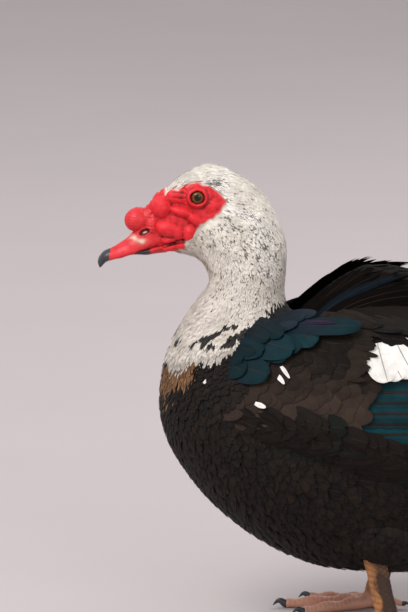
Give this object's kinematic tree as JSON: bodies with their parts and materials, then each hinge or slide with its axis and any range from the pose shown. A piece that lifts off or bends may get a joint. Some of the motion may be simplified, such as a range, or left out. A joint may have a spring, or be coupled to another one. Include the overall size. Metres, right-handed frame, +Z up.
{
  "type": "muscovy duck model",
  "caption": "Life-size museum model of a standing muscovy drake with a red carunculate face, white head and neck, dark folded wings and raised back feathers.",
  "frame": {"origin": "on the floor, below the middle of the bird's length and width", "axes": "+Z up, the bird faces -Y, its left side is +X"},
  "size_m": [0.2388, 0.626, 0.426],
  "materials": {
    "head_skin": "bare wrinkled red skin, slightly moist, with white head feathers above and behind",
    "bill_horn": "smooth red horn with a pale patch",
    "dark_horn": "dark grey horn",
    "eye": "amber-brown iris, black pupil, wet",
    "white_plumage": "soft white feathers with black flecks",
    "dark_plumage": "brown-black feathers with a faint green gloss",
    "wing_plumage": "brown-black feathers glossed green and purple, with white coverts",
    "leg_skin": "orange-brown scaled skin with dark grey scutes",
    "foot_skin": "pinkish scaled and webbed skin"
  },
  "bodies": {
    "root": {"head": "head_skin", "bill_upper": "bill_horn", "bill_lower": "bill_horn", "bill_nail": "dark_horn", "eye_left": "eye", "eye_right": "eye", "neck": "white_plumage", "torso": "dark_plumage", "tail": "dark_plumage", "wing_left": "wing_plumage", "wing_right": "wing_plumage", "leg_left": "leg_skin", "leg_right": "leg_skin", "foot_left": "foot_skin", "foot_right": "foot_skin", "claw_inner_left": "dark_horn", "claw_middle_left": "dark_horn", "claw_outer_left": "dark_horn", "claw_hind_left": "dark_horn", "claw_inner_right": "dark_horn", "claw_middle_right": "dark_horn", "claw_outer_right": "dark_horn", "claw_hind_right": "dark_horn"}
  },
  "joints": []
}
